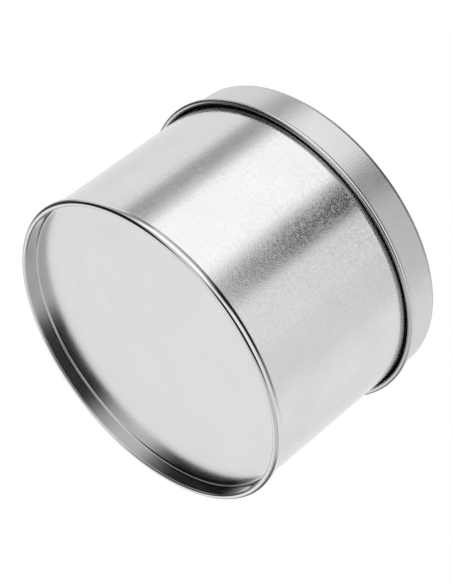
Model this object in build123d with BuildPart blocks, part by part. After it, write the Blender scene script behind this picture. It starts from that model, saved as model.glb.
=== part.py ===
"""Round slip-lid candle tin of tinplate: a rolled body with a welded side seam, a recessed
bottom end joined to it by a double seam, the sealing compound in that seam, and a slip-on lid.

Millimetres, +Z up the tin's axis, from the base rim to the lid. The origin is the centre of
the circle on which the base rim stands. Each metal piece is one bent sheet, so its profile is
the sheet's middle line, traced to the sheet's thickness and revolved about Z."""

import os

from build123d import *

os.makedirs("parts", exist_ok=True)

# Driving dimensions.
BODY_RADIUS = 38.0  # outer face of the body wall
TOTAL_HEIGHT = 54.7  # base rim to the top of the lid's raised panel
LID_DEPTH = 10.4  # lid's shoulder down to its lower edge
RECESS_DEPTH = 3.7  # base rim up to the underside of the bottom panel
SEAM_HEIGHT = 2.1  # base rim up to the top of the double seam
BODY_SHEET = 0.25  # tinplate of the body and of the bottom end
LID_SHEET = 0.23  # tinplate of the lid

# Double seam. From the outside in, its five layers are the end's seaming wall, the body's hook,
# the end's hook, the body wall and the end's recess wall, one pitch apart.
LAYER_GAP = 0.02
PITCH = BODY_SHEET + LAYER_GAP
BODY_WALL = BODY_RADIUS - BODY_SHEET / 2
RECESS_WALL = BODY_WALL - PITCH
END_HOOK = BODY_WALL + PITCH
BODY_HOOK = BODY_WALL + 2 * PITCH
SEAMING_WALL = BODY_WALL + 3 * PITCH
END_HOOK_TIP = 0.75
BODY_HOOK_TIP = 1.45

# Heights of the sheet's middle line at the base, and the radii of its bends.
RIM = BODY_SHEET / 2
BODY_FOLD = RIM + PITCH
END_FOLD = SEAM_HEIGHT - BODY_SHEET / 2
BOTTOM_PANEL = RECESS_DEPTH + BODY_SHEET / 2
PANEL_BEND = 0.5
RIM_INNER_BEND = 0.33
RIM_OUTER_BEND = 0.7
HOOK_BEND = 0.26
FOLD_OUTER_BEND = 0.35
FOLD_INNER_BEND = 0.16

# Above the rim the seaming wall stands out, and it leans in from there to the fold.
BELLY = 0.1
BELLY_TOP = RIM + 1.0
BELLY_BEND = 2.0

# Lid: a shallow raised panel, a rounded shoulder and a snug skirt. The skirt's lower edge steps
# outwards, clear of the body, and is rolled up and outwards into a hem closed against the step.
SLIP_CLEARANCE = 0.1  # between the body and the skirt, all round
HEM_CLEARANCE = 0.47  # between the body and the hem, all round
HEM_DIAMETER = 1.3
HEM_TIP_GAP = 0.02
HEM_BEND = 0.52
FLARE_HEIGHT = 0.5  # over which the skirt steps out to the hem
FLARE_BEND = 0.3
SHOULDER_BEND = 1.1
PANEL_RADIUS = 33.2
PANEL_RISE = 0.6
PANEL_STEP = 0.9
PANEL_STEP_BEND = 0.45
SKIRT = BODY_RADIUS + SLIP_CLEARANCE + LID_SHEET / 2
HEM_INNER_LEAF = BODY_RADIUS + HEM_CLEARANCE + LID_SHEET / 2
HEM_OUTER_LEAF = HEM_INNER_LEAF + HEM_DIAMETER - LID_SHEET
HEM_TIP = HEM_INNER_LEAF + LID_SHEET / 2 + HEM_TIP_GAP

# Heights of the lid, the first two of them on its faces and the rest on its middle line.
SHOULDER_TOP = TOTAL_HEIGHT - PANEL_RISE
LID_BOTTOM = SHOULDER_TOP - LID_DEPTH
LID_PANEL = TOTAL_HEIGHT - LID_SHEET / 2
SHOULDER = SHOULDER_TOP - LID_SHEET / 2
HEM_FOLD = LID_BOTTOM + LID_SHEET / 2
HEM_CLOSURE = LID_BOTTOM + HEM_DIAMETER - LID_SHEET / 2

# Mouth of the body, whose edge is curled into the tin.
MOUTH_CLEARANCE = 0.07  # below the lid
CURL_SIZE = 1.25
CURL_BEND = 0.6
CURL_TAIL = 0.8
CURL_TAIL_BEND = 0.4
BODY_TOP = SHOULDER_TOP - LID_SHEET - MOUTH_CLEARANCE
MOUTH = BODY_TOP - BODY_SHEET / 2
CURL_WALL = BODY_WALL - CURL_SIZE

# Side seam, a narrow resistance weld down the back of the body (+Y).
WELD_WIDTH = 0.9
WELD_OUTER = BODY_RADIUS + 0.03
WELD_INNER = BODY_RADIUS - BODY_SHEET - 0.12
WELD_CLEARANCE = 0.25  # between each end of a ridge and what lies beyond it

# Bottom end: the panel, the recess wall down to the rim, then the seaming wall, and the hook
# tucked down between the body wall and the body's own hook.
with BuildPart() as bottom_end:
    with BuildSketch(Plane.XZ):
        with BuildLine():
            FilletPolyline(
                (0, BOTTOM_PANEL),
                (RECESS_WALL, BOTTOM_PANEL),
                (RECESS_WALL, RIM),
                (SEAMING_WALL + BELLY, RIM),
                (SEAMING_WALL + BELLY, BELLY_TOP),
                (SEAMING_WALL, END_FOLD),
                (END_HOOK, END_FOLD),
                (END_HOOK, END_HOOK_TIP),
                radius=[
                    PANEL_BEND,
                    RIM_INNER_BEND,
                    RIM_OUTER_BEND,
                    BELLY_BEND,
                    FOLD_OUTER_BEND,
                    FOLD_INNER_BEND,
                ],
            )
        trace(line_width=BODY_SHEET)
    revolve(axis=Axis.Z)

bottom_end.part.label = "bottom_end"
export_step(bottom_end.part, "parts/bottom_end.step")

# Body wall: its hook in the double seam, the plain cylinder, and the curl round the mouth.
with BuildPart() as body_wall:
    with BuildSketch(Plane.XZ):
        with BuildLine():
            FilletPolyline(
                (BODY_HOOK, BODY_HOOK_TIP),
                (BODY_HOOK, BODY_FOLD),
                (BODY_WALL, BODY_FOLD),
                (BODY_WALL, MOUTH),
                (CURL_WALL, MOUTH),
                (CURL_WALL, MOUTH - CURL_SIZE),
                (CURL_WALL + CURL_TAIL, MOUTH - CURL_SIZE),
                radius=[HOOK_BEND] * 2 + [CURL_BEND] * 2 + [CURL_TAIL_BEND],
            )
        trace(line_width=BODY_SHEET)
    revolve(axis=Axis.Z)
    # The weld's ridge inside the tin, from the bottom panel to the curl.
    inner_ridge_bottom = RECESS_DEPTH + BODY_SHEET + WELD_CLEARANCE
    inner_ridge_top = BODY_TOP - CURL_SIZE - BODY_SHEET - WELD_CLEARANCE
    with BuildSketch(Plane.XY.offset(inner_ridge_bottom)):
        Circle(BODY_WALL)
        Circle(WELD_INNER, mode=Mode.SUBTRACT)
        with Locations((0, BODY_WALL)):
            Rectangle(WELD_WIDTH, BODY_WALL, mode=Mode.INTERSECT)
    extrude(amount=inner_ridge_top - inner_ridge_bottom)
    # Its ridge outside, from the double seam to the bend of the curl.
    outer_ridge_bottom = SEAM_HEIGHT + WELD_CLEARANCE
    outer_ridge_top = MOUTH - CURL_BEND
    with BuildSketch(Plane.XY.offset(outer_ridge_bottom)):
        Circle(WELD_OUTER)
        Circle(BODY_WALL, mode=Mode.SUBTRACT)
        with Locations((0, BODY_WALL)):
            Rectangle(WELD_WIDTH, BODY_WALL, mode=Mode.INTERSECT)
    extrude(amount=outer_ridge_top - outer_ridge_bottom)

body_wall.part.label = "body_wall"
export_step(body_wall.part, "parts/body_wall.step")

# Sealing compound: the ring of rubber that fills the double seam above the body's hook.
with BuildPart() as seam_compound:
    with BuildSketch(Plane.XY.offset(BODY_HOOK_TIP)):
        Circle(BODY_HOOK + BODY_SHEET / 2)
        Circle(BODY_HOOK - BODY_SHEET / 2, mode=Mode.SUBTRACT)
    extrude(amount=END_FOLD - FOLD_OUTER_BEND - BODY_HOOK_TIP)

seam_compound.part.label = "seam_compound"
export_step(seam_compound.part, "parts/seam_compound.step")

# Lid: the raised panel, the shoulder, the skirt, the step outwards, and the hem.
with BuildPart() as lid:
    with BuildSketch(Plane.XZ):
        with BuildLine():
            FilletPolyline(
                (0, LID_PANEL),
                (PANEL_RADIUS, LID_PANEL),
                (PANEL_RADIUS + PANEL_STEP, SHOULDER),
                (SKIRT, SHOULDER),
                (SKIRT, HEM_CLOSURE + FLARE_HEIGHT),
                (HEM_INNER_LEAF, HEM_CLOSURE),
                (HEM_INNER_LEAF, HEM_FOLD),
                (HEM_OUTER_LEAF, HEM_FOLD),
                (HEM_OUTER_LEAF, HEM_CLOSURE),
                (HEM_TIP, HEM_CLOSURE),
                radius=[PANEL_STEP_BEND] * 2 + [SHOULDER_BEND] + [FLARE_BEND] * 2 + [HEM_BEND] * 3,
            )
        trace(line_width=LID_SHEET)
    revolve(axis=Axis.Z)

lid.part.label = "lid"
export_step(lid.part, "parts/lid.step")
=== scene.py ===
"""Looks of the slip-lid candle tin: lathed tinplate shells, their finish, a studio and a camera.

Metres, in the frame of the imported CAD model: +Z up the tin's axis, the base rim on z = 0."""

from collections import namedtuple
from math import atan2, cos, pi, radians, sin, sqrt, tan

import bmesh
import bpy
from mathutils import Matrix, Vector


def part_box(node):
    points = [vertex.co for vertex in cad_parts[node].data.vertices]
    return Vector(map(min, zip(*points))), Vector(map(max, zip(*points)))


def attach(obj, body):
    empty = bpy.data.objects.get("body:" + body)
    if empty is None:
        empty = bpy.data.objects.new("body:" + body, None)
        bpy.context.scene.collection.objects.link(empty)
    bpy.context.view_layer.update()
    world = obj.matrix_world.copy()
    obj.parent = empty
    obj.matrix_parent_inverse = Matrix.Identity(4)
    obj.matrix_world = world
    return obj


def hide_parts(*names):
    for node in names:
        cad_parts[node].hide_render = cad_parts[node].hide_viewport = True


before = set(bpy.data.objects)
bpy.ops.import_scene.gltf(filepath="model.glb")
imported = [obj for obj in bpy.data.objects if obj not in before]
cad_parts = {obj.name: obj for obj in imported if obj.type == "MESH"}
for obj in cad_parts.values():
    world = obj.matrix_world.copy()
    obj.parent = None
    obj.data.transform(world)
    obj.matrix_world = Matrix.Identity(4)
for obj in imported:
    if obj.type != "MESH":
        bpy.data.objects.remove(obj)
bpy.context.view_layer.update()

MM = 0.001
TURN = 2 * pi

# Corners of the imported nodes, and the gauge of each sheet.
END_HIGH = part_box("bottom_end")[1]
WALL_LOW, WALL_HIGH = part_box("body_wall")
LID_LOW, LID_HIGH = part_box("lid")
BODY_SHEET = 0.25 * MM
LID_SHEET = 0.23 * MM

# Double seam: radii of the sheets' middle lines from the outside in, one pitch apart, then heights
# and bends.
PITCH = BODY_SHEET + 0.02 * MM
BELLY = 0.1 * MM  # by which the seaming wall stands out above the rim
SEAMING_WALL = END_HIGH.x - BELLY - BODY_SHEET / 2
BODY_HOOK = SEAMING_WALL - PITCH
END_HOOK = BODY_HOOK - PITCH
BODY_WALL = END_HOOK - PITCH
RECESS_WALL = BODY_WALL - PITCH
BODY_RADIUS = BODY_WALL + BODY_SHEET / 2
SEAM_HEIGHT = 2.1 * MM
BELLY_HEIGHT = 1.0 * MM  # from the rim up to where the seaming wall starts to lean in
END_HOOK_TIP = 0.75 * MM
BODY_HOOK_TIP = 1.45 * MM
PANEL_BEND = 0.5 * MM
RIM_INNER_BEND = 0.33 * MM
RIM_OUTER_BEND = 0.7 * MM
BELLY_BEND = 2.0 * MM
FOLD_OUTER_BEND = 0.35 * MM
FOLD_INNER_BEND = 0.16 * MM
HOOK_BEND = 0.26 * MM

# Mouth of the body, curled into the tin.
CURL_SIZE = 1.25 * MM
CURL_BEND = 0.6 * MM
CURL_TAIL = 0.8 * MM
CURL_TAIL_BEND = 0.4 * MM

# Lid: raised panel, shoulder, skirt, the flare that steps out to the hem, and the hem.
PANEL_RADIUS = 33.2 * MM
PANEL_RISE = 0.6 * MM
PANEL_STEP = 0.9 * MM
PANEL_STEP_BEND = 0.45 * MM
SHOULDER_BEND = 1.1 * MM
SLIP_CLEARANCE = 0.1 * MM  # between the body and the skirt
FLARE_HEIGHT = 0.5 * MM
FLARE_BEND = 0.3 * MM
HEM_DIAMETER = 1.3 * MM
HEM_BEND = 0.52 * MM
HEM_TIP_GAP = 0.02 * MM

# Side seam's resistance weld, at the back (+Y): a ridge on each face, of overlapping nuggets.
WELD_WIDTH = 0.9 * MM
WELD_CLEARANCE = 0.25 * MM  # between the end of a ridge and what lies beyond it
OUTER_RIDGE_RISE = 0.03 * MM
INNER_RIDGE_RISE = 0.12 * MM
OUTER_RIDGE_DROP = 0.73 * MM  # from the mouth to the ridge's top, under the bend of the curl
NUGGET_PITCH = 0.8 * MM
NUGGET_RIPPLE = 0.12  # share of the ridge's rise
NUGGET_ROWS = 8
RIDGE_COLUMNS = 12
RIDGE_END_ROWS = 4  # over which a ridge rises at its ends

# Fineness of the lathed shells.
SEGMENTS = 384  # round the tin
ARC_STEP = radians(10)  # along the bends
CUT_EDGE = 0.05 * MM  # rounding of a sheet's cut edge
CUT_EDGE_ANGLES = (0, 30, 60, 90)


def add_object(name, mesh):
    """A new object in the scene, made of a bmesh that is then freed."""
    data = bpy.data.meshes.new(name)
    mesh.to_mesh(data)
    mesh.free()
    made = bpy.data.objects.new(name, data)
    bpy.context.scene.collection.objects.link(made)
    return made


# Lathed sheet metal ------------------------------------------------------------------------


def left_of(direction):
    return Vector((-direction.y, direction.x))


def rounded_path(corners, bends):
    """(point, normal) pairs down a path of straight runs whose inner corners are arcs. Points are
    (radius, height), and the normal is on the left of the path."""
    path = [(corners[0], left_of((corners[1] - corners[0]).normalized()))]
    for before, corner, after, bend in zip(corners, corners[1:], corners[2:], bends):
        ahead = (corner - before).normalized()
        beyond = (after - corner).normalized()
        sweep = atan2(ahead.x * beyond.y - ahead.y * beyond.x, ahead.dot(beyond))
        side = 1 if sweep > 0 else -1
        start = corner - ahead * bend * tan(abs(sweep) / 2)
        centre = start + left_of(ahead) * bend * side
        steps = max(2, round(abs(sweep) / ARC_STEP))
        for step in range(steps + 1):
            normal = left_of(Matrix.Rotation(sweep * step / steps, 2) @ ahead)
            path.append((centre - normal * bend * side, normal))
    path.append((corners[-1], left_of((corners[-1] - corners[-2]).normalized())))
    return path


def cut_edge(end, normal, outwards, gauge):
    """The points round a sheet's cut end, from its left face to its right one."""
    points = []
    for side, angles in ((1, CUT_EDGE_ANGLES), (-1, CUT_EDGE_ANGLES[::-1])):
        centre = end - outwards * CUT_EDGE + normal * side * (gauge / 2 - CUT_EDGE)
        for angle in angles:
            spoke = normal * side * cos(radians(angle)) + outwards * sin(radians(angle))
            points.append((centre + spoke * CUT_EDGE, spoke))
    return points


def sheet_outline(route, gauge):
    """Both faces and the cut edges of a bent sheet, as a closed or axis-to-axis outline. The route
    is the corners of its middle line, (radius, height), and the inner ones add their bend."""
    corners = [Vector(place[:2]) for place in route]
    bends = [place[2] for place in route[1:-1]]
    path = rounded_path(corners, bends)
    left = [(point + normal * gauge / 2, normal) for point, normal in path]
    right = [(point - normal * gauge / 2, -normal) for point, normal in path]
    start = end = []
    if corners[-1].x > 0:
        outwards = (corners[-1] - corners[-2]).normalized()
        end = cut_edge(path[-1][0], path[-1][1], outwards, gauge)
        left, right = left[:-1], right[:-1]
    if corners[0].x > 0:
        outwards = (corners[0] - corners[1]).normalized()
        start = cut_edge(path[0][0], -path[0][1], outwards, gauge)
        left, right = left[1:], right[1:]
    return left + end + right[::-1] + start


def lathe(name, outline):
    """An object made by turning an outline about Z, with exact normals and with UVs in metres:
    U along the circumference at the body's radius, V along the outline."""
    mesh = bmesh.new()
    rings = []
    normals = []
    for point, normal in outline:
        ring = []
        for segment in range(SEGMENTS if point.x > 0 else 1):
            turn = TURN * segment / SEGMENTS + pi / 2
            across = Vector((cos(turn), sin(turn)))
            ring.append(mesh.verts.new((*(across * point.x), point.y)))
            normals.append((*(across * normal.x), normal.y))
        rings.append(ring)
    travelled = [0.0]
    for (before, _), (point, _) in zip(outline, outline[1:] + outline[:1]):
        travelled.append(travelled[-1] + (point - before).length)
    uv_layer = mesh.loops.layers.uv.new("sheet")
    pairs = list(zip(rings, rings[1:] + rings[:1]))
    if len(rings[0]) == 1:
        pairs.pop()  # an outline from axis to axis isn't closed
    for row, (ring, following) in enumerate(pairs):
        for segment in range(SEGMENTS):
            ahead = segment + 1
            corners = (
                (ring, ahead, row),
                (ring, segment, row),
                (following, segment, row + 1),
                (following, ahead, row + 1),
            )
            if len(ring) == 1:
                corners = corners[1:]
            elif len(following) == 1:
                corners = corners[:3]
            face = mesh.faces.new([where[place % len(where)] for where, place, _ in corners])
            face.smooth = True
            for loop, (_, place, station) in zip(face.loops, corners):
                loop[uv_layer].uv = (TURN * place / SEGMENTS * BODY_RADIUS, travelled[station])
    mesh.normal_update()
    shell = add_object(name, mesh)
    shell.data.normals_split_custom_set_from_vertices(normals)
    return shell


def make_base():
    """Panel, recess wall, rim and seaming wall, and the hook tucked in behind the body's hook."""
    panel = END_HIGH.z - BODY_SHEET / 2
    rim = BODY_SHEET / 2
    fold = SEAM_HEIGHT - BODY_SHEET / 2
    route = [
        (0, panel),
        (RECESS_WALL, panel, PANEL_BEND),
        (RECESS_WALL, rim, RIM_INNER_BEND),
        (SEAMING_WALL + BELLY, rim, RIM_OUTER_BEND),
        (SEAMING_WALL + BELLY, rim + BELLY_HEIGHT, BELLY_BEND),
        (SEAMING_WALL, fold, FOLD_OUTER_BEND),
        (END_HOOK, fold, FOLD_INNER_BEND),
        (END_HOOK, END_HOOK_TIP),
    ]
    return lathe("base_end", sheet_outline(route, BODY_SHEET))


def make_body():
    """Hook, plain wall, and the curl round the mouth."""
    fold = WALL_LOW.z + BODY_SHEET / 2
    mouth = WALL_HIGH.z - BODY_SHEET / 2
    curl_wall = BODY_WALL - CURL_SIZE
    route = [
        (BODY_HOOK, BODY_HOOK_TIP),
        (BODY_HOOK, fold, HOOK_BEND),
        (BODY_WALL, fold, HOOK_BEND),
        (BODY_WALL, mouth, CURL_BEND),
        (curl_wall, mouth, CURL_BEND),
        (curl_wall, mouth - CURL_SIZE, CURL_TAIL_BEND),
        (curl_wall + CURL_TAIL, mouth - CURL_SIZE),
    ]
    return lathe("body_shell", sheet_outline(route, BODY_SHEET))


def make_lid():
    """Raised panel, shoulder, skirt, the step outwards, and the hem rolled up outside the step."""
    panel = LID_HIGH.z - LID_SHEET / 2
    shoulder = panel - PANEL_RISE
    skirt = BODY_RADIUS + SLIP_CLEARANCE + LID_SHEET / 2
    outer_leaf = LID_HIGH.x - LID_SHEET / 2
    inner_leaf = LID_HIGH.x - HEM_DIAMETER + LID_SHEET / 2
    fold = LID_LOW.z + LID_SHEET / 2
    closure = LID_LOW.z + HEM_DIAMETER - LID_SHEET / 2
    route = [
        (0, panel),
        (PANEL_RADIUS, panel, PANEL_STEP_BEND),
        (PANEL_RADIUS + PANEL_STEP, shoulder, PANEL_STEP_BEND),
        (skirt, shoulder, SHOULDER_BEND),
        (skirt, closure + FLARE_HEIGHT, FLARE_BEND),
        (inner_leaf, closure, FLARE_BEND),
        (inner_leaf, fold, HEM_BEND),
        (outer_leaf, fold, HEM_BEND),
        (outer_leaf, closure, HEM_BEND),
        (inner_leaf + LID_SHEET / 2 + HEM_TIP_GAP, closure),
    ]
    return lathe("lid_shell", sheet_outline(route, LID_SHEET))


def make_weld_ridge(name, crown, bottom, top):
    """One ridge of the weld: a strip with a rounded crown at the given radius and the ripples of
    its overlapping nuggets, rooted in the middle of the wall."""
    rows = round((top - bottom) / NUGGET_PITCH) * NUGGET_ROWS
    mesh = bmesh.new()
    grid = []
    for row in range(rows + 1):
        height = bottom + (top - bottom) * row / rows
        nugget = abs(sin(pi * (height - bottom) / NUGGET_PITCH))
        ripple = 1 - NUGGET_RIPPLE + NUGGET_RIPPLE * nugget
        end = min(1, row / RIDGE_END_ROWS, (rows - row) / RIDGE_END_ROWS)
        line = []
        for column in range(RIDGE_COLUMNS + 1):
            place = 2 * column / RIDGE_COLUMNS - 1
            radius = BODY_WALL + (crown - BODY_WALL) * sqrt(1 - place**4) * ripple * sqrt(end)
            turn = pi / 2 + place * WELD_WIDTH / 2 / BODY_RADIUS
            line.append(mesh.verts.new((radius * cos(turn), radius * sin(turn), height)))
        grid.append(line)
    for line, above in zip(grid, grid[1:]):
        for column in range(RIDGE_COLUMNS):
            mesh.faces.new((line[column], line[column + 1], above[column + 1], above[column]))
        mesh.faces.new((line[0], above[0], above[-1], line[-1]))
    mesh.faces.new(grid[0])
    mesh.faces.new(grid[-1][::-1])
    bmesh.ops.recalc_face_normals(mesh, faces=mesh.faces)
    for face in mesh.faces:
        face.smooth = True
    return add_object(name, mesh)


def make_weld():
    """The ridge outside, from the double seam to the curl's bend, and the one inside, from the
    bottom panel to the curl."""
    outer = make_weld_ridge(
        "side_weld_outside",
        BODY_RADIUS + OUTER_RIDGE_RISE,
        SEAM_HEIGHT + WELD_CLEARANCE,
        WALL_HIGH.z - OUTER_RIDGE_DROP,
    )
    inner = make_weld_ridge(
        "side_weld_inside",
        BODY_RADIUS - BODY_SHEET - INNER_RIDGE_RISE,
        END_HIGH.z + WELD_CLEARANCE,
        WALL_HIGH.z - CURL_SIZE - BODY_SHEET - WELD_CLEARANCE,
    )
    return outer, inner


# Node building -----------------------------------------------------------------------------


def add_node(tree, kind, inputs=(), **settings):
    """A node with its settings, and with its inputs linked or set by name or number."""
    made = tree.nodes.new(kind)
    for setting, value in settings.items():
        setattr(made, setting, value)
    for socket, value in dict(inputs).items():
        if isinstance(value, bpy.types.NodeSocket):
            tree.links.new(value, made.inputs[socket])
        else:
            made.inputs[socket].default_value = value
    return made


def calculate(tree, operation, first, second=0.0):
    return add_node(tree, "ShaderNodeMath", {0: first, 1: second}, operation=operation).outputs[0]


def plus(tree, first, second):
    return calculate(tree, "ADD", first, second)


def times(tree, first, second):
    return calculate(tree, "MULTIPLY", first, second)


def flattened(tree, vector):
    """A vector without its Z."""
    return add_node(
        tree, "ShaderNodeVectorMath", {0: vector, 1: (1, 1, 0)}, operation="MULTIPLY"
    ).outputs[0]


def length(tree, vector):
    return add_node(tree, "ShaderNodeVectorMath", {0: vector}, operation="LENGTH").outputs["Value"]


def remap(tree, value, low, high, to_low, to_high, curve="LINEAR"):
    """Carries a value from one range to another, clamped."""
    return add_node(
        tree,
        "ShaderNodeMapRange",
        {"Value": value, 1: low, 2: high, 3: to_low, 4: to_high},
        interpolation_type=curve,
    ).outputs[0]


def window(tree, value, low, high):
    """Smooth step from 0 to 1 as a value goes from low to high."""
    return remap(tree, value, low, high, 0.0, 1.0, "SMOOTHSTEP")


def scaled_noise(tree, coordinates, cells, detail=2.0, roughness=0.5, turn=0.0):
    """Noise whose cells have the given sizes in millimetres along each coordinate, which are
    first turned by some degrees about the third one."""
    if turn:
        coordinates = add_node(
            tree,
            "ShaderNodeMapping",
            {"Vector": coordinates, "Rotation": (0, 0, radians(turn))},
        ).outputs[0]
    scale = [1 / (size * MM) for size in cells]
    place = add_node(tree, "ShaderNodeMapping", {"Vector": coordinates, "Scale": scale})
    noise = add_node(
        tree,
        "ShaderNodeTexNoise",
        {"Vector": place.outputs[0], "Scale": 1.0, "Detail": detail, "Roughness": roughness},
    )
    return noise.outputs["Fac"]


def blended_colour(tree, value, low, low_colour, high, high_colour):
    """The first colour where a value is low, the second where it is high, and a blend between."""
    blend = add_node(tree, "ShaderNodeValToRGB", {"Fac": value})
    ends = blend.color_ramp.elements
    ends[0].position = low
    ends[0].color = (*low_colour, 1)
    ends[1].position = high
    ends[1].color = (*high_colour, 1)
    return blend.outputs[0]


def add_bump(tree, shader, height, distance):
    bump = add_node(tree, "ShaderNodeBump", {"Height": height, "Distance": distance})
    tree.links.new(bump.outputs[0], shader.inputs["Normal"])


# Finishes ----------------------------------------------------------------------------------

GRAIN_CELLS = (0.24, 1.3, 1)
GRAIN_TURNS = (38, -52)  # degrees from the sheet's U, at right angles to each other
GRAIN_IN_COLOUR = 0.08
MOTTLE_CELLS = (9, 9, 9)
TIN_DARK = (0.655, 0.657, 0.662)
TIN_LIGHT = (0.705, 0.707, 0.711)
# Painted shade in narrow gaps and corners: how far the occlusion reaches, and the colour factor where
# it is deepest.
CREVICE_SHADE_REACH = 0.6 * MM
CREVICE_SHADE_TONE = 0.01
DRAWN_RADIUS = 37 * MM  # beyond it the base's sheet is drawn and rolled into the seam
DRAWN_SHINE = 0.16
HEAT_MARGIN = (0.7 * MM, 1.9 * MM)  # from the weld's middle, over which the dulling fades
HEAT_DULLING = 0.14
HEAT_TONE = 0.78


def new_material(name, metallic=0.0):
    """A material, its node tree and its shader."""
    material = bpy.data.materials.new(name)
    material.use_nodes = True
    tree = material.node_tree
    shader = tree.nodes["Principled BSDF"]
    shader.inputs["Metallic"].default_value = metallic
    return material, tree, shader


def spangle(tree, sheet):
    """Fine crosshatched grain."""
    warp, weft = [scaled_noise(tree, sheet, GRAIN_CELLS, 1.0, 0.5, turn) for turn in GRAIN_TURNS]
    return times(tree, plus(tree, warp, weft), 0.5)


def painted_crevice_shade(tree):
    """A factor that falls in narrow gaps and corners: painted shade, which darkens the colour where
    little light gets in."""
    openness = add_node(tree, "ShaderNodeAmbientOcclusion", {"Distance": CREVICE_SHADE_REACH}, samples=12)
    return remap(tree, openness.outputs["AO"], 0.2, 0.6, CREVICE_SHADE_TONE, 1.0)


def heat_margin(tree, solid):
    """1 beside the weld, falling to 0 over the margins that its heat leaves."""
    place = add_node(tree, "ShaderNodeSeparateXYZ", {0: solid}).outputs
    margin = remap(tree, calculate(tree, "ABSOLUTE", place[0]), *HEAT_MARGIN, 1.0, 0.0)
    return times(tree, margin, calculate(tree, "GREATER_THAN", place[1], 0.0))


def tinplate(
    name,
    satin,
    sparkle,
    grain_height,
    streak_cells,
    streak_height,
    shade=1.0,
    drawn=False,
    welded=False,
):
    """Satin tinplate: fine spangle, lines left by rolling or drawing, soft mottling, painted shade
    that darkens the colour in the gaps, a shine where the sheet is drawn and, on the welded wall, the
    weld's dull margins. Satin is the mean roughness, sparkle is how far the spangle varies it, and
    heights are in mm."""
    material, tree, shader = new_material(name, metallic=1.0)
    coordinates = add_node(tree, "ShaderNodeTexCoord").outputs
    solid = coordinates["Object"]
    sheet = coordinates["UV"]
    grain = spangle(tree, sheet)
    streaks = scaled_noise(tree, sheet, streak_cells, 3.0, 0.6)
    mottle = scaled_noise(tree, solid, MOTTLE_CELLS, 3.0, 0.55)
    relief = plus(tree, times(tree, grain, grain_height), times(tree, streaks, streak_height))
    add_bump(tree, shader, relief, MM)
    roughness = plus(
        tree,
        remap(tree, mottle, 0.3, 0.7, satin - 0.02, satin + 0.02),
        remap(tree, streaks, 0.3, 0.7, -0.02, 0.02),
    )
    roughness = plus(tree, roughness, remap(tree, grain, 0.38, 0.62, -sparkle, sparkle))
    # Painted shade: the colour is darkened in narrow gaps and corners.
    tone = painted_crevice_shade(tree)
    if drawn:
        radius = length(tree, flattened(tree, solid))
        shine = remap(tree, radius, DRAWN_RADIUS - MM, DRAWN_RADIUS, 0.0, -DRAWN_SHINE)
        roughness = plus(tree, roughness, shine)
    if welded:
        margin = heat_margin(tree, solid)
        roughness = plus(tree, roughness, times(tree, margin, HEAT_DULLING))
        tone = times(tree, tone, remap(tree, margin, 0.0, 1.0, 1.0, HEAT_TONE))
    tint = blended_colour(
        tree,
        plus(tree, times(tree, mottle, 1 - GRAIN_IN_COLOUR), times(tree, grain, GRAIN_IN_COLOUR)),
        0.3,
        [channel * shade for channel in TIN_DARK],
        0.7,
        [channel * shade for channel in TIN_LIGHT],
    )
    # The colour is scaled by the painted shade in the gaps and, on the welded wall, by the weld's
    # darker heat margins.
    colour = add_node(tree, "ShaderNodeVectorMath", {0: tint, "Scale": tone}, operation="SCALE")
    tree.links.new(colour.outputs[0], shader.inputs["Base Color"])
    tree.links.new(roughness, shader.inputs["Roughness"])
    return material


def weld_steel():
    """Bare steel of the weld: blue-grey, dull, with each nugget's edge a little darker."""
    material, tree, shader = new_material("weld_steel", metallic=1.0)
    solid = add_node(tree, "ShaderNodeTexCoord").outputs["Object"]
    wave_scale = TURN / (20 * NUGGET_PITCH)  # a Wave texture has 20 radians to its unit
    nuggets = add_node(
        tree,
        "ShaderNodeTexWave",
        {"Vector": solid, "Scale": wave_scale, "Distortion": 1.5, "Detail": 2.0},
        bands_direction="Z",
    ).outputs["Fac"]
    scale = scaled_noise(tree, solid, (0.2, 0.2, 0.6), 3.0, 0.6)
    tone = plus(tree, times(tree, nuggets, 0.5), times(tree, scale, 0.5))
    tint = blended_colour(tree, tone, 0.25, (0.26, 0.27, 0.30), 0.75, (0.44, 0.45, 0.47))
    tree.links.new(tint, shader.inputs["Base Color"])
    tree.links.new(remap(tree, scale, 0.3, 0.7, 0.34, 0.5), shader.inputs["Roughness"])
    add_bump(tree, shader, scale, 0.02 * MM)
    return material


def sealing_compound():
    """Cured water-based sealing compound: warm grey, matt and slightly uneven."""
    material, tree, shader = new_material("sealing_compound")
    shader.inputs["Roughness"].default_value = 0.75
    solid = add_node(tree, "ShaderNodeTexCoord").outputs["Object"]
    lumps = scaled_noise(tree, solid, (0.3, 0.3, 0.3))
    tint = blended_colour(tree, lumps, 0.0, (0.36, 0.34, 0.31), 1.0, (0.48, 0.46, 0.42))
    tree.links.new(tint, shader.inputs["Base Color"])
    add_bump(tree, shader, lumps, 0.02 * MM)
    return material


# Studio ------------------------------------------------------------------------------------

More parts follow.
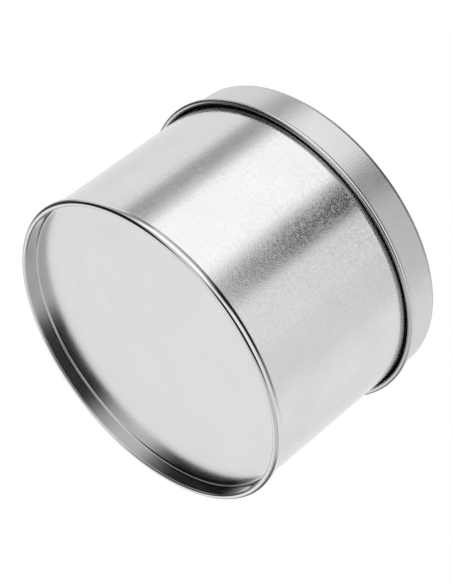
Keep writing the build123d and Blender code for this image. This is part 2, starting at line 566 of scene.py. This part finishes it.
# Each card is a soft-edged patch of the surroundings, brighter (a softbox) or darker (a flag)
# than the walls: azimuth from the camera's side of the tin towards +X, half width and soft edge,
# all in degrees, then the lowest and highest elevation, their soft edge, and the change.
Card = namedtuple("Card", "name azimuth half_width edge lowest highest rise change")
CARDS = [
    Card("key_softbox", -42, 26, 14, 2, 39, 8, 0.31),
    Card("left_gap", -81, 4, 12, 2, 50, 10, -0.48),
    Card("centre_gap", -2, 4, 14, 31.8, 39, 5, -0.82),
    Card("right_fold", 64, 5, 20, 2, 50, 10, -0.08),
    Card("front_card", 0, 40, 50, -13, 20, 8, 0.27),
    Card("side_walls", 180, 84, 40, -15, 22, 10, -0.14),
    Card("right_strip", 138, 8, 18, -20, 20, 12, -0.45),
    Card("left_strip", -138, 8, 18, -20, 20, 12, -0.45),
    Card("back_walls", 180, 40, 30, 2, 60, 8, -0.07),
    Card("high_walls", 0, 180, 0, 40, 100, 6, -0.2),
    Card("high_gap", 14, 10, 32, 39, 60, 5, -0.45),
    Card("high_right_flag", 45, 24, 34, 39, 60, 5, -0.38),
    Card("ceiling_flag", -6, 47, 40, 46, 100, 10, -0.55),
    Card("overhead_flag", 180, 40, 40, 60, 100, 10, -0.5),
    Card("backdrop", 180, 11, 15, -56, -20, 8, 0.3),
    Card("low_left_flag", -108, 18, 46, -70, -15, 10, -0.64),
    Card("low_right_flag", 28, 20, 30, -70, -15, 10, -0.62),
    Card("low_strip", -43, 8, 14, -60, -20, 8, 0.2),
    Card("table", 0, 180, 0, -100, -78, 10, 0.4),
]
WALLS_ABOVE = 0.86
WALLS_BELOW = 0.62
HORIZON = (-14, 10)  # elevations between which the walls go from one to the other
DARKEST = 0.01
EXPOSURE = 1.18


def card_light(tree, card, bearing, elevation):
    """What a card adds to the light from a level bearing and an elevation."""
    towards = (sin(radians(card.azimuth)), -cos(radians(card.azimuth)), 0)
    facing = add_node(
        tree, "ShaderNodeVectorMath", {0: bearing, 1: towards}, operation="DOT_PRODUCT"
    ).outputs["Value"]
    share = 1.0
    if card.half_width < 180:
        outside = cos(radians(card.half_width + card.edge))
        share = window(tree, facing, outside, cos(radians(card.half_width)))
    for limit, sign in ((card.lowest, 1), (card.highest, -1)):
        bound = limit * sign
        height = times(tree, elevation, sign)
        within = window(tree, height, bound - card.rise / 2, bound + card.rise / 2)
        share = times(tree, share, within)
    return times(tree, share, card.change)


def make_studio():
    """A room of soft cards for the reflections, and an even white for the camera's backdrop and
    for matt surfaces."""
    world = bpy.data.worlds.new("studio")
    bpy.context.scene.world = world
    world.use_nodes = True
    tree = world.node_tree
    tree.nodes.clear()
    direction = add_node(tree, "ShaderNodeTexCoord").outputs["Generated"]
    height = add_node(tree, "ShaderNodeSeparateXYZ", {0: direction}).outputs[2]
    elevation = calculate(tree, "DEGREES", calculate(tree, "ARCSINE", height))
    bearing = add_node(
        tree, "ShaderNodeVectorMath", {0: flattened(tree, direction)}, operation="NORMALIZE"
    ).outputs[0]
    above = window(tree, elevation, *HORIZON)
    light = plus(tree, times(tree, above, WALLS_ABOVE - WALLS_BELOW), WALLS_BELOW)
    for card in CARDS:
        light = plus(tree, light, card_light(tree, card, bearing, elevation))
    light = times(tree, calculate(tree, "MAXIMUM", light, DARKEST), EXPOSURE)
    room = add_node(tree, "ShaderNodeBackground", {"Color": (1, 1, 1, 1), "Strength": light})
    white = add_node(tree, "ShaderNodeBackground", {"Color": (1, 1, 1, 1), "Strength": 1.0})
    path = add_node(tree, "ShaderNodeLightPath").outputs
    even = calculate(tree, "MAXIMUM", path["Is Camera Ray"], path["Is Diffuse Ray"])
    mix = add_node(
        tree, "ShaderNodeMixShader", {0: even, 1: room.outputs[0], 2: white.outputs[0]}
    )
    add_node(tree, "ShaderNodeOutputWorld", {"Surface": mix.outputs[0]})


FLOOR_RADIUS = 1.2
FLOOR_FADE = (0.12, 0.9)  # distances from the tin's axis


def pale_floor():
    """Matt and pale, clear from below, and fading into the backdrop."""
    material, tree, shader = new_material("pale_floor")
    shader.inputs["Base Color"].default_value = (0.93, 0.93, 0.93, 1)
    shader.inputs["Roughness"].default_value = 0.9
    shader.inputs["Specular IOR Level"].default_value = 0.1
    below = add_node(tree, "ShaderNodeNewGeometry").outputs["Backfacing"]
    distance = length(tree, add_node(tree, "ShaderNodeTexCoord").outputs["Object"])
    clear = calculate(tree, "MAXIMUM", below, window(tree, distance, *FLOOR_FADE))
    see_through = add_node(tree, "ShaderNodeBsdfTransparent")
    mix = add_node(
        tree, "ShaderNodeMixShader", {0: clear, 1: shader.outputs[0], 2: see_through.outputs[0]}
    )
    tree.links.new(mix.outputs[0], tree.nodes["Material Output"].inputs["Surface"])
    return material


def make_floor():
    """A floor under the rim, seen by the camera alone, so that the tin doesn't reflect it. It
    shows from above only, because a camera below it would see it in front of the tin."""
    mesh = bmesh.new()
    bmesh.ops.create_circle(mesh, cap_ends=True, segments=96, radius=FLOOR_RADIUS)
    floor = add_object("floor", mesh)
    for ray in ("diffuse", "glossy", "transmission", "shadow", "volume_scatter"):
        setattr(floor, "visible_" + ray, False)
    floor.data.materials.append(pale_floor())


LENS = 137.43
SENSOR = 36.0
CLIP_START = 0.01
CAMERA_ELEVATION = radians(31.49)  # by which the lens looks up
CAMERA_ROLL = radians(52.26)
BASE_IN_VIEW = (-0.4727, -0.3619, -12.8928)  # the base's centre in the camera's axes, body radii


def make_camera():
    """A long lens that looks up at the recessed base, rolled so that the tin leans to the right."""
    turned = Matrix.Rotation(pi / 2 + CAMERA_ELEVATION, 3, "X") @ Matrix.Rotation(CAMERA_ROLL, 3, "Z")
    base_centre = Vector(BASE_IN_VIEW) * BODY_RADIUS
    data = bpy.data.cameras.new("camera")
    data.sensor_width = SENSOR
    data.lens = LENS
    data.clip_start = CLIP_START
    camera = bpy.data.objects.new("camera", data)
    camera.matrix_world = Matrix.Translation(-(turned @ base_centre)) @ turned.to_4x4()
    bpy.context.scene.collection.objects.link(camera)
    bpy.context.scene.camera = camera


# The tin -----------------------------------------------------------------------------------


def body_finish():
    """Spangled sheet, with its rolling lines up the wall."""
    return tinplate(
        "tinplate_body",
        satin=0.165,
        sparkle=0.08,
        grain_height=0.014,
        streak_cells=(0.5, 6, 1),
        streak_height=0.004,
        welded=True,
    )


def base_finish():
    """Sheet with little spangle, lines round the panel, and a shine on the rim and the seam."""
    return tinplate(
        "tinplate_base",
        satin=0.24,
        sparkle=0.02,
        grain_height=0.002,
        streak_cells=(12, 0.5, 1),
        streak_height=0.002,
        drawn=True,
    )


def lid_finish():
    """A little darker, with the lines of drawing down the skirt."""
    return tinplate(
        "tinplate_lid",
        satin=0.27,
        sparkle=0.015,
        grain_height=0.003,
        streak_cells=(0.35, 7, 1),
        streak_height=0.02,
        shade=0.94,
    )


def make_tin():
    """Makes the pieces, gives them their finishes and fastens them to the bodies."""
    steel = weld_steel()
    for ridge in make_weld():
        ridge.data.materials.append(steel)
        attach(ridge, "tin")
    for piece, material, body, node, slot in (
        (make_body(), body_finish(), "tin", "body_wall", "body_tinplate"),
        (make_base(), base_finish(), "tin", "bottom_end", "base_tinplate"),
        (make_lid(), lid_finish(), "lid", "lid", "lid_tinplate"),
    ):
        piece.data.materials.append(material)
        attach(piece, body)
        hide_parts(node)
    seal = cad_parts["seam_compound"]
    seal.data.materials.clear()
    seal.data.materials.append(sealing_compound())


make_tin()
make_studio()
make_floor()
make_camera()
bpy.context.scene.view_settings.view_transform = "Standard"
